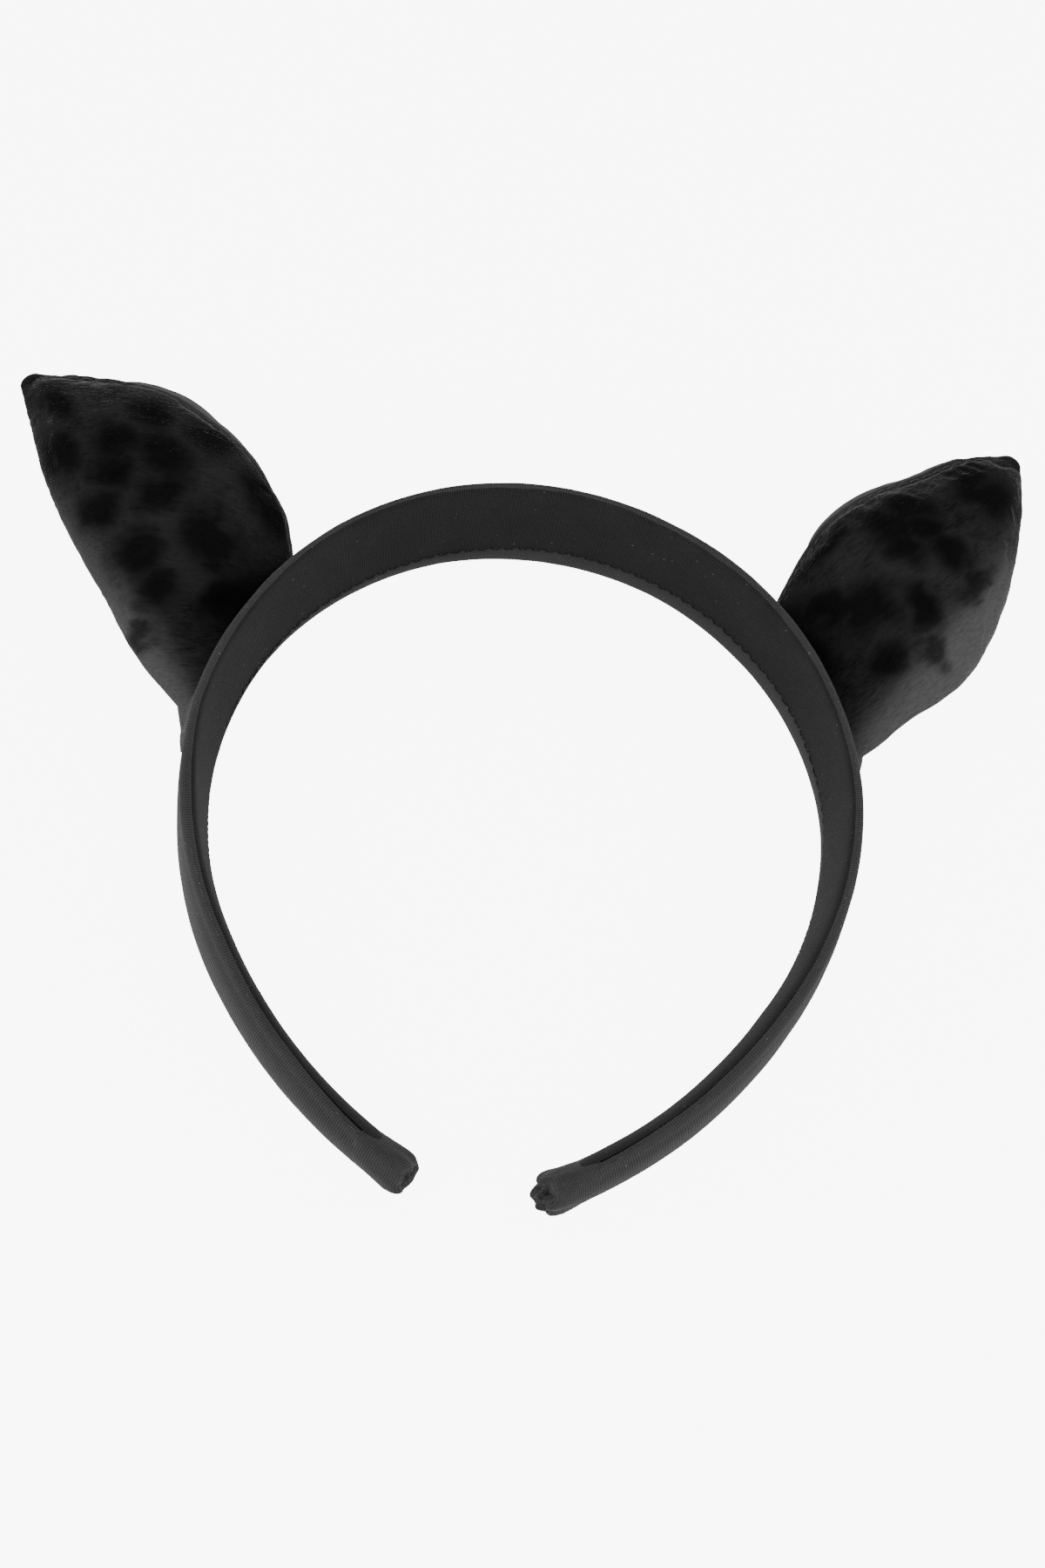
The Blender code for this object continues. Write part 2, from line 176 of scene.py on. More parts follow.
def make_studio():
    world = bpy.data.worlds.new("studio")
    world.use_nodes = True
    background = world.node_tree.nodes["Background"]
    background.inputs["Color"].default_value = (1.0, 1.0, 1.0, 1.0)
    background.inputs["Strength"].default_value = WORLD_STRENGTH
    bpy.context.scene.world = world
    area_light("key", (-0.25, -0.55, 0.70), (0, 0, 0), 0.50, KEY_POWER)
    area_light("fill", (0.65, 0.25, 0.45), (0, 0, 0), 0.60, FILL_POWER)
    area_light("left_side", (-0.60, -0.22, 0.14), (-0.05, 0, 0), 0.40, SIDE_POWER)
    area_light("right_side", (0.62, -0.30, 0.14), (0.05, 0, 0), 0.40, SIDE_POWER)
    # A sweep of white paper, lit on its own so that it looks white behind black cloth.
    material, _, _, shader = new_material("lit_paper")
    shader.inputs["Base Color"].default_value = (0.93, 0.93, 0.93, 1.0)
    shader.inputs["Roughness"].default_value = 0.9
    shader.inputs["Specular IOR Level"].default_value = 0.0
    shader.inputs["Emission Color"].default_value = (1.0, 1.0, 1.0, 1.0)
    shader.inputs["Emission Strength"].default_value = PAPER_GLOW
    floor = bmesh.new()
    bmesh.ops.create_grid(floor, x_segments=1, y_segments=1, size=FLOOR_HALF)
    dome = bmesh.new()
    bmesh.ops.create_icosphere(dome, subdivisions=4, radius=BACKDROP_RADIUS)
    for name, work, height in (("floor", floor, -0.00005), ("backdrop", dome, 0.0)):
        mesh = bpy.data.meshes.new(name)
        work.to_mesh(mesh)
        work.free()
        mesh.materials.append(material)
        stage = bpy.data.objects.new(name, mesh)
        stage.location.z = height
        stage.visible_diffuse = False
        stage.visible_glossy = False
        stage.visible_shadow = False
        bpy.context.scene.collection.objects.link(stage)


# ---------------------------------------------------------------- materials

def new_material(name):
    material = bpy.data.materials.new(name)
    material.use_nodes = True
    nodes, links = material.node_tree.nodes, material.node_tree.links
    return material, nodes, links, nodes["Principled BSDF"]


class Graph:
    """Short calls for building a material's nodes."""

    def __init__(self, name):
        self.material, self.nodes, self.links, self.shader = new_material(name)

    def add(self, kind, **settings):
        node = self.nodes.new(kind)
        for key, value in settings.items():
            setattr(node, key, value)
        return node

    def feed(self, socket, value):
        if isinstance(value, bpy.types.NodeSocket):
            self.links.new(value, socket)
        else:
            socket.default_value = value

    def math(self, operation, *values, clamp=False):
        node = self.add("ShaderNodeMath", operation=operation, use_clamp=clamp)
        for socket, value in zip(node.inputs, values):
            self.feed(socket, value)
        return node.outputs[0]

    def attribute(self, name, vector=False):
        node = self.add("ShaderNodeAttribute", attribute_name=name)
        return node.outputs["Vector" if vector else "Fac"]

    def scaled(self, vector, scale, turn=0.0):
        """The vector turned back by an angle in X and Y, then scaled."""
        node = self.add("ShaderNodeMapping", vector_type="TEXTURE")
        self.feed(node.inputs["Vector"], vector)
        node.inputs["Rotation"].default_value = (0, 0, turn)
        node.inputs["Scale"].default_value = [1 / value for value in scale]
        return node.outputs[0]

    def noise(self, vector, scale, detail=2.0, roughness=0.5, distortion=0.0):
        node = self.add("ShaderNodeTexNoise")
        self.feed(node.inputs["Vector"], vector)
        node.inputs["Scale"].default_value = scale
        node.inputs["Detail"].default_value = detail
        node.inputs["Roughness"].default_value = roughness
        node.inputs["Distortion"].default_value = distortion
        return node.outputs["Fac"]

    def specks(self, vector, scale, size):
        """1 on small scattered dots, 0 elsewhere."""
        node = self.add("ShaderNodeTexVoronoi")
        self.feed(node.inputs["Vector"], vector)
        node.inputs["Scale"].default_value = scale
        return self.ramp(node.outputs["Distance"], size, 0.0)

    def ramp(self, value, low, high, to_low=0.0, to_high=1.0):
        node = self.add("ShaderNodeMapRange", interpolation_type="SMOOTHSTEP")
        self.feed(node.inputs["Value"], value)
        if low > high:
            low, high, to_low, to_high = high, low, to_high, to_low
        node.inputs["From Min"].default_value = low
        node.inputs["From Max"].default_value = high
        node.inputs["To Min"].default_value = to_low
        node.inputs["To Max"].default_value = to_high
        return node.outputs[0]

    def mix(self, share, first, second):
        node = self.add("ShaderNodeMix", data_type="RGBA")
        self.feed(node.inputs["Factor"], share)
        colours = [socket for socket in node.inputs if socket.type == "RGBA"]
        for socket, colour in zip(colours, (first, second)):
            self.feed(socket, colour if isinstance(colour, bpy.types.NodeSocket) else (*colour, 1.0))
        return next(socket for socket in node.outputs if socket.type == "RGBA")

    def bump(self, height, distance, strength=1.0, under=None):
        node = self.add("ShaderNodeBump")
        node.inputs["Distance"].default_value = distance
        node.inputs["Strength"].default_value = strength
        self.feed(node.inputs["Height"], height)
        if under is not None:
            self.feed(node.inputs["Normal"], under)
        return node.outputs[0]

    def finish(self, colour, roughness, normal, specular=0.5, sheen=0.0, sheen_roughness=0.5):
        inputs = self.shader.inputs
        self.feed(inputs["Base Color"], colour)
        self.feed(inputs["Roughness"], roughness)
        self.feed(inputs["Normal"], normal)
        inputs["Specular IOR Level"].default_value = specular
        inputs["Sheen Weight"].default_value = sheen
        inputs["Sheen Roughness"].default_value = sheen_roughness
        inputs["Sheen Tint"].default_value = (1.0, 1.0, 1.0, 1.0)
        return self.material


RIB_PITCH = 0.53 * MM


def ribbon_material(name, dark, light, sheen, specular=0.35):
    """Ribbed ribbon: fine ribs across the band, threads along it, and a little lint."""
    graph = Graph(name)
    along, across = graph.attribute("along"), graph.attribute("across")
    place = graph.attribute("rest", vector=True)
    wander = graph.math("MULTIPLY", graph.noise(place, 260.0, 2.0), 0.00022)
    phase = graph.math("MULTIPLY", graph.math("ADD", along, wander), 2 * math.pi / RIB_PITCH)
    ribs = graph.math("MULTIPLY_ADD", graph.math("SINE", phase), 0.5, 0.5)
    cross_phase = graph.math("MULTIPLY", across, 2 * math.pi / (0.34 * MM))
    cross = graph.math("MULTIPLY_ADD", graph.math("SINE", cross_phase), 0.5, 0.5)
    grain = graph.noise(place, 2600.0, 2.0, 0.7)
    patches = graph.noise(place, 90.0, 3.0, 0.6)
    share = graph.math("ADD", graph.math("MULTIPLY", ribs, 0.55), graph.math("MULTIPLY", cross, 0.08))
    share = graph.math("ADD", share, graph.math("MULTIPLY_ADD", grain, 1.1, -0.42))
    share = graph.math("ADD", share, graph.math("MULTIPLY_ADD", patches, 0.5, -0.12), clamp=True)
    lint = graph.math("MULTIPLY", graph.specks(place, 420.0, 0.11), graph.ramp(patches, 0.42, 0.60))
    colour = graph.mix(share, dark, light)
    colour = graph.mix(graph.math("MULTIPLY", lint, 0.55), colour, (0.42, 0.42, 0.42))
    height = graph.math("ADD", graph.math("MULTIPLY", ribs, 0.8), graph.math("MULTIPLY", cross, 0.2))
    normal = graph.bump(height, 0.00014, 1.0)
    normal = graph.bump(grain, 0.00008, 0.6, under=normal)
    return graph.finish(colour, graph.ramp(grain, 0.2, 0.8, 0.44, 0.62), normal,
                        specular=specular, sheen=sheen, sheen_roughness=0.45)


def velvet_material(name, nap):
    """Short pile combed one way, light where it lies flat, with darker blotches."""
    graph = Graph(name)
    place = graph.attribute("ear_place", vector=True)
    blotch = graph.attribute("blotch")
    streaks = graph.noise(graph.scaled(place, (2600.0, 420.0, 1500.0), nap), 1.0, 3.0, 0.65)
    tufts = graph.noise(graph.scaled(place, (520.0, 150.0, 330.0), nap), 1.0, 3.0, 0.6, 0.4)
    lay = graph.noise(place, 55.0, 2.0, 0.5)
    grain = graph.noise(place, 3800.0, 1.0, 0.5)
    edge = graph.math("ADD", blotch, graph.math("MULTIPLY_ADD", tufts, 1.10, -0.55))
    edge = graph.math("ADD", edge, graph.math("MULTIPLY_ADD", streaks, 0.70, -0.35))
    spots = graph.ramp(edge, 0.10, 0.85)
    share = graph.math("MULTIPLY_ADD", streaks, 1.10, graph.math("MULTIPLY_ADD", tufts, 0.9, -0.70))
    share = graph.math("ADD", share, graph.math("MULTIPLY_ADD", lay, 0.7, -0.30), clamp=True)
    pile = graph.mix(share, (0.0075, 0.0075, 0.008), (0.048, 0.048, 0.049))
    inked = graph.mix(share, (0.0016, 0.0016, 0.0018), (0.0090, 0.0090, 0.0095))
    colour = graph.mix(spots, pile, inked)
    split = graph.add("ShaderNodeSeparateXYZ")
    graph.feed(split.inputs[0], place)
    # Painted sheen: the pile is painted lighter towards the outer edge, where light grazes it.
    painted_sheen = graph.ramp(split.outputs["X"], -0.0105, -0.0205)
    painted_sheen = graph.math("MULTIPLY", painted_sheen, graph.ramp(split.outputs["Y"], 0.040, 0.072, 1.0, 0.25))
    painted_sheen = graph.math("MULTIPLY", painted_sheen, graph.math("MULTIPLY_ADD", spots, -0.75, 1.0))
    painted_sheen = graph.math("MULTIPLY", painted_sheen, graph.math("MULTIPLY_ADD", streaks, 0.9, 0.35), clamp=True)
    colour = graph.mix(graph.math("MULTIPLY", painted_sheen, 0.75), colour, (0.150, 0.150, 0.152))
    # Painted shade: the pile is painted near black where the ear is sewn down, in the crevice that the
    # band's front edge shades.
    painted_base_shade = graph.ramp(split.outputs["Y"], 0.0050, 0.0135, 1.0, 0.0)
    painted_base_shade = graph.math("MULTIPLY", painted_base_shade, graph.ramp(split.outputs["X"], -0.014, 0.006))
    colour = graph.mix(graph.math("MULTIPLY", painted_base_shade, 0.96), colour, (0.0008, 0.0008, 0.0009))
    dust = graph.math("MULTIPLY", graph.specks(place, 210.0, 0.04), graph.ramp(lay, 0.52, 0.62))
    colour = graph.mix(graph.math("MULTIPLY", dust, 0.5), colour, (0.30, 0.30, 0.30))
    normal = graph.bump(streaks, 0.00035, 0.75)
    normal = graph.bump(tufts, 0.0006, 0.45, under=normal)
    normal = graph.bump(grain, 0.00010, 0.5, under=normal)
    return graph.finish(colour, 0.9, normal, specular=0.06, sheen=0.42, sheen_roughness=0.24)


def satin_material(name):
    """Smooth satin with the faintest diagonal weave."""
    graph = Graph(name)
    place = graph.attribute("ear_place", vector=True)
    weave = graph.noise(graph.scaled(place, (3800.0, 700.0, 2000.0), math.radians(40)), 1.0, 2.0, 0.6)
    cloud = graph.noise(place, 140.0, 3.0, 0.6)
    share = graph.math("MULTIPLY_ADD", weave, 0.6, graph.math("MULTIPLY", cloud, 0.4))
    colour = graph.mix(share, (0.008, 0.008, 0.0085), (0.026, 0.026, 0.027))
    normal = graph.bump(weave, 0.00004, 0.5)
    normal = graph.bump(cloud, 0.0004, 0.25, under=normal)
    return graph.finish(colour, graph.ramp(weave, 0.2, 0.8, 0.34, 0.46), normal, specular=0.35,
                        sheen=0.05, sheen_roughness=0.3)


def thread_material(name, dark, light, roughness):
    """Twisted polyester thread."""
    graph = Graph(name)
    along = graph.attribute("along")
    place = graph.attribute("rest", vector=True)
    twist = graph.math("SINE", graph.math("MULTIPLY", along, 2 * math.pi / (0.30 * MM)))
    twist = graph.math("MULTIPLY_ADD", twist, 0.5, 0.5)
    fuzz = graph.noise(place, 3000.0, 2.0, 0.6)
    share = graph.math("MULTIPLY_ADD", twist, 0.6, graph.math("MULTIPLY", fuzz, 0.4))
    colour = graph.mix(share, dark, light)
    return graph.finish(colour, roughness, graph.bump(twist, 0.00006, 0.7), specular=0.5, sheen=0.1)


def grainy_material(name, dark, light, scale, depth, roughness, specular=0.4, sheen=0.0):
    graph = Graph(name)
    place = graph.attribute("rest", vector=True)
    grain = graph.noise(place, scale, 4.0, 0.65)
    cells = graph.noise(place, scale * 4.5, 2.0, 0.6)
    share = graph.math("MULTIPLY_ADD", grain, 0.6, graph.math("MULTIPLY", cells, 0.4))
    normal = graph.bump(cells, depth * 0.4, 0.6, under=graph.bump(grain, depth, 0.7))
    return graph.finish(graph.mix(share, dark, light), roughness, normal, specular=specular, sheen=sheen)


# ---------------------------------------------------------------- places along the band

def band_width(station):
    share = min(abs(station) / BAND_HALF_LENGTH, 1.0)
    return BAND_WIDTH_CROWN - (BAND_WIDTH_CROWN - BAND_WIDTH_TIP) * share ** BAND_TAPER_POWER


# The band's section, at stations from the crown to a tip (mm): how far out its outer and inner
# faces are at the front edge, at the middle and at the back edge, and how high the back hem is.
SECTION_STATIONS = (0, 25, 50, 75, 100, 120, 150, 180, 207)
SECTIONS = {
    -1: {
        "outer_front": (0.45, 1.20, 1.50, 1.60, 2.20, 2.00, 1.30, 1.35, 2.20),
        "inner_front": (-1.00, -0.20, 0.10, -0.10, 0.20, -0.70, -1.20, -0.95, -0.20),
        "outer_middle": (2.30, 2.30, 2.35, 2.40, 2.50, 2.70, 3.40, 3.55, 3.60),
        "inner_middle": (-2.00, -1.60, -1.70, -1.80, -2.00, -2.70, -3.45, -3.65, -4.10),
        "inner_back": (-3.10, -3.00, -3.45, -3.40, -3.75, -3.45, -2.90, -2.60, -2.80),
        "hem": (5.8, 4.6, 3.8, 3.4, 3.2, 3.0, 2.8, 2.5, 2.2),
    },
    1: {
        "outer_front": (0.45, 0.35, 1.10, 1.60, 2.25, 2.30, 1.95, 1.90, 2.00),
        "inner_front": (-1.00, -1.20, -0.90, -0.35, 0.40, 0.10, -0.50, -0.40, -0.50),
        "outer_middle": (2.30, 2.30, 2.35, 2.40, 2.50, 2.50, 2.90, 3.65, 3.70),
        "inner_middle": (-2.00, -2.10, -2.30, -1.90, -1.70, -2.60, -3.75, -3.50, -3.80),
        "inner_back": (-3.10, -3.25, -3.95, -3.75, -3.00, -3.10, -2.90, -2.60, -2.80),
        "hem": (5.8, 5.8, 6.0, 5.8, 4.4, 3.8, 3.6, 2.9, 2.3),
    },
}
MIDDLE_SHARE = 0.45


def section_size(side, station, name):
    return np.interp(station / MM, SECTION_STATIONS, SECTIONS[side][name]) * MM


def bowed(back, middle, front, share):
    """The curve through a value at the back, one at the middle and one at the front."""
    m = MIDDLE_SHARE
    return (back * (share - m) * (share - 1) / m + middle * share * (share - 1) / (m * (m - 1))
            + front * share * (share - m) / (1 - m))


def face_outs(side, station, up):
    """How far out the inner face and the outer face are, at a height above the back edge."""
    share = up / band_width(station)
    inner = [section_size(side, station, f"inner_{place}") for place in ("back", "middle", "front")]
    outer = [section_size(side, station, f"outer_{place}") for place in ("middle", "front")]
    return bowed(*inner, share), bowed(BAND_HALF, *outer, share)


def band_frame(station):
    """The centre line's place, its outward normal and its direction towards the crown, at Z = 0."""
    side = -1.0 if station < 0 else 1.0
    left_over = abs(station)
    x, y, heading = 0.0, 0.0, 0.0
    for i, (length, radius) in enumerate(BAND_ARCS):
        step = left_over if i == len(BAND_ARCS) - 1 else min(left_over, length)
        turned = heading + step / radius
        x += radius * (math.sin(turned) - math.sin(heading))
        y += radius * (math.cos(turned) - math.cos(heading))
        heading = turned
        left_over -= step
    place = np.array((CROWN_PLACE[0] + side * x, CROWN_PLACE[1] + y, 0.0))
    outward = np.array((side * math.sin(heading), math.cos(heading), 0.0))
    crownward = np.array((-side * math.cos(heading), math.sin(heading), 0.0))
    return place, outward, crownward


UP = np.array((0.0, 0.0, 1.0))


def band_point(station, out, up):
    place, outward, _ = band_frame(station)
    return place + outward * out + UP * up


# ---------------------------------------------------------------- mesh helpers

def grid_mesh(name, points, wrap=False, cap_ends=False):
    """A surface through rows of points; wrap joins each row's end to its start."""
    rows, columns = len(points), len(points[0])
    vertices = np.asarray(points, float).reshape(-1, 3)
    faces = []
    for i in range(rows - 1):
        for j in range(columns if wrap else columns - 1):
            k = (j + 1) % columns
            faces.append((i * columns + j, i * columns + k, (i + 1) * columns + k, (i + 1) * columns + j))
    if cap_ends:
        faces.append(tuple(reversed(range(columns))))
        faces.append(tuple((rows - 1) * columns + j for j in range(columns)))
    mesh = bpy.data.meshes.new(name)
    mesh.from_pydata(vertices.tolist(), [], faces)
    mesh.update()
    return mesh


def face_out(mesh):
    """Turns a closed mesh's faces outwards."""
    work = bmesh.new()
    work.from_mesh(mesh)
    bmesh.ops.recalc_face_normals(work, faces=work.faces)
    work.to_mesh(mesh)
    work.free()


def face_towards(mesh, point):
    """Turns an open sheet's faces to the side that the point is on."""
    middle = mesh.polygons[len(mesh.polygons) // 2]
    if middle.normal.dot(Vector(point) - middle.center) < 0:
        mesh.flip_normals()


def store(mesh, name, values):
    values = np.asarray(values, np.float32)
    kind, key = ("FLOAT", "value") if values.ndim == 1 else ("FLOAT_VECTOR", "vector")
    attribute = mesh.attributes.get(name) or mesh.attributes.new(name, kind, "POINT")
    attribute.data.foreach_set(key, values.ravel())


def places_of(mesh):
    flat = np.empty(len(mesh.vertices) * 3)
    mesh.vertices.foreach_get("co", flat)
    return flat.reshape(-1, 3)


def move_to(mesh, places):
    mesh.vertices.foreach_set("co", np.asarray(places, float).ravel())
    mesh.update()


def normals_of(mesh):
    flat = np.empty(len(mesh.vertices) * 3)
    mesh.vertices.foreach_get("normal", flat)
    return flat.reshape(-1, 3)


def noise_at(places, size, seed=0.0):
    """Smooth noise from about -1 to 1, with lumps of the given size."""
    return np.array([noise.noise(Vector(p) / size + Vector((seed, -seed, 0.37 * seed))) for p in places])


def add_piece(mesh, material):
    mesh.materials.clear()
    mesh.materials.append(material)
    mesh.shade_smooth()
    store(mesh, "rest", places_of(mesh))
    piece = bpy.data.objects.new(mesh.name, mesh)
    bpy.context.scene.collection.objects.link(piece)
    return piece


def tubes_mesh(name, routes, radius):
    """One mesh of many short rounded tubes, one along each route."""
    sides = TUBE_SIDES
    vertices, faces, along = [], [], []
    for route in routes:
        route = [np.asarray(p, float) for p in route]
        rings = []
        total = 0.0
        for i, point in enumerate(route):
            ahead = route[min(i + 1, len(route) - 1)] - route[max(i - 1, 0)]
            ahead = ahead / np.linalg.norm(ahead)
            aside = np.cross(ahead, UP)
            if np.linalg.norm(aside) < 0.1:
                aside = np.cross(ahead, (1.0, 0.0, 0.0))
            aside = aside / np.linalg.norm(aside)
            over = np.cross(aside, ahead)
            if i:
                total += np.linalg.norm(point - route[i - 1])
            end = i in (0, len(route) - 1)
            size = radius * (0.45 if end else 1.0)
            ring = []
            for k in range(sides):
                angle = 2 * math.pi * k / sides
                ring.append(len(vertices))
                vertices.append(point + (aside * math.cos(angle) + over * math.sin(angle)) * size)
                along.append(total)
            rings.append(ring)
        for first, second in zip(rings, rings[1:]):
            for k in range(sides):
                m = (k + 1) % sides
                faces.append((first[k], first[m], second[m], second[k]))
        faces.append(tuple(reversed(rings[0])))
        faces.append(tuple(rings[-1]))
    mesh = bpy.data.meshes.new(name)
    mesh.from_pydata([tuple(v) for v in vertices], [], faces)
    face_out(mesh)
    store(mesh, "along", along)
    return mesh


# ---------------------------------------------------------------- the band

def arc(centre_out, centre_up, radius, first, last, steps):
    """Points of an arc in a section, from one angle in degrees to another."""
    angles = [math.radians(first + (last - first) * i / steps) for i in range(steps + 1)]
    return [(centre_out + radius * math.cos(a), centre_up + radius * math.sin(a)) for a in angles]


def cover_path(side, station):
    """The cover's section: the back hem, round the padded outside, to the front hem."""
    width, hem = band_width(station), section_size(side, station, "hem")
    back_inner, back_outer = min(0.0019, 0.8 * hem), 0.0016
    front = front_round(side, station)
    hem_out, low_out = face_outs(side, station, hem)[0], face_outs(side, station, back_inner)[0]
    path = [(hem_out + 0.00045, hem + 0.0007), (hem_out + 0.00020, hem + 0.0005)]
    path += [(hem_out + 0.00004, hem + 0.0002), (hem_out, hem - 0.0002)]
    for i in range(1, 5):
        up = hem - 0.0002 + (back_inner - hem + 0.0002) * i / 5
        path.append((face_outs(side, station, up)[0] - 0.00010 * math.sin(math.pi * i / 5), up))
    path += arc(low_out + back_inner, back_inner, back_inner, 180, 270, 7)
    path += [(0.0002, 0.0)]
    path += arc(BAND_HALF - back_outer, back_outer, back_outer, 270, 360, 6)
    for i in range(1, 15):
        share = i / 15
        up = back_outer + (width - front - back_outer) * share
        crease = 0.00040 * share ** 16
        path.append((face_outs(side, station, up)[1] - crease, up))
    inner_front, outer_front = face_outs(side, station, width)
    path += arc(outer_front - front, width - front, front, 0, 90, 8)
    path += arc(inner_front + front, width - front, front, 90, 180, 7)
    path += [(inner_front + 0.00010, width - front - 0.0003)]
    path += [(inner_front + 0.00035, width - front - 0.0006)]
    path += [(inner_front + 0.00070, width - front - 0.0010)]
    return path


def front_round(side, station):
    """The radius that the front edge is rounded with."""
    inner, outer = face_outs(side, station, band_width(station))
    return min(0.0017, 0.5 * (outer - inner))


def lining_path(side, station):
    """The lining's section, with its two edges folded under."""
    width = band_width(station)
    low = section_size(side, station, "hem") + 0.0001
    high = width - 0.45 * front_round(side, station)
    section = [(0.60, high - 0.0009), (0.52, high - 0.0003), (0.34, high), (0.12, high - 0.00004)]
    section += [(-0.08, high - 0.0003), (-0.20, high - 0.0007)]
    for i in range(1, 16):
        share = i / 16
        up = high - 0.0006 + (low - high + 0.0013) * share
        section.append((-0.22 - 0.04 * math.cos(2 * math.pi * share), up))
    section += [(-0.26, low + 0.0006), (-0.24, low + 0.0002), (-0.08, low)]
    section += [(0.14, low + 0.0001), (0.30, low + 0.0005)]
    return [(face_outs(side, station, up)[0] + out * MM, up) for out, up in section]


def band_sheet(name, side, end, path_of, ripple, hem_slant=0.0):
    """A cloth layer over one half of the band, with its along and across attributes."""
    count = int(end / (1.1 * MM))
    rows, along, across = [], [], []
    for i in range(count + 1):
        station = end * i / count
        path = np.array(path_of(side, station))
        place, outward, _ = band_frame(side * station if station else side * 1e-9)
        rows.append(place + np.outer(path[:, 0], outward) + np.outer(path[:, 1], UP))
        steps = np.linalg.norm(np.diff(path, axis=0), axis=1)
        run = np.concatenate([[0], np.cumsum(steps)])
        across.append(run)
        # The ribs slant where the ribbon is turned over the back edge.
        hem = section_size(side, station, "hem")
        low = np.clip((hem + 0.0004 - path[:, 1]) / hem, 0, 1) * (path[:, 0] < 0)
        along.append(np.full(len(path), station * side) + hem_slant * low)
    mesh = grid_mesh(name, rows)
    middle = end / 2
    face_towards(mesh, band_point(side * middle, -1.0 if path_of is lining_path else 1.0, 0.01))
    normals, places = normals_of(mesh), places_of(mesh)
    lift = ripple * (0.7 * noise_at(places, 0.011, 1.0) + 0.5 * noise_at(places, 0.0045, 5.0))
    rest_on_table = np.clip(places[:, 2] / 0.001, 0, 1)
    move_to(mesh, places + normals * (lift * rest_on_table)[:, None])
    store(mesh, "along", np.concatenate(along))
    store(mesh, "across", np.concatenate(across))
    return mesh


def rounded_section(out_low, out_high, up_low, up_high, radius):
    points = arc(out_low + radius, up_low + radius, radius, 180, 270, 3)
    points += arc(out_high - radius, up_low + radius, radius, 270, 360, 3)
    points += arc(out_high - radius, up_high - radius, radius, 0, 90, 3)
    points += arc(out_low + radius, up_high - radius, radius, 90, 180, 3)
    return np.array(points)


def band_bar(name, side, end, low_share, high_share, margin, radius):
    """A solid inner layer over one half of the band, between two shares of its thickness."""
    count = int(end / (3 * MM))
    rows = []
    for i in range(count + 1):
        station = end * i / count
        out_low, out_high = (BAND_HALF * (2 * share - 1) for share in (low_share, high_share))
        section = rounded_section(out_low, out_high, margin, band_width(station) - margin, radius)
        for point in section:
            inner, outer = face_outs(side, station, point[1])
            point[0] = inner + (outer - inner) * (point[0] + BAND_HALF) / (2 * BAND_HALF)
        place, outward, _ = band_frame(side * station if station else side * 1e-9)
        rows.append(place + np.outer(section[:, 0], outward) + np.outer(section[:, 1], UP))
    mesh = grid_mesh(name, rows, wrap=True, cap_ends=True)
    face_out(mesh)
    return mesh


def hem_stitches(name, side, end):
    """Stitches along the back hem, each a little out of line."""
    dice = random.Random(17 + side)
    routes = []
    station = 0.5 * HEM_PITCH
    while station < end:
        half = dice.uniform(0.60, 0.74) * MM
        rise = dice.uniform(0.30, 0.62) * MM * (-1) ** len(routes)
        shift = dice.uniform(-0.10, 0.10) * MM
        # Past the ears the thread is pulled down into the ribbon.
        proud = np.interp(station, (0.080, 0.100), (1.0, 0.15))
        route = []
        for i in range(6):
            t = i / 5 * 2 - 1
            bow = 1 - t * t
            hem = section_size(side, station, "hem")
            out = face_outs(side, station, hem)[0] - proud * (0.08 + 0.34 * bow) * MM
            route.append(band_point(side * (station + half * t), out, hem + shift + rise * t))
        routes.append(route)
        station += HEM_PITCH * dice.uniform(0.94, 1.06)
    return tubes_mesh(name, routes, THREAD_RADIUS)


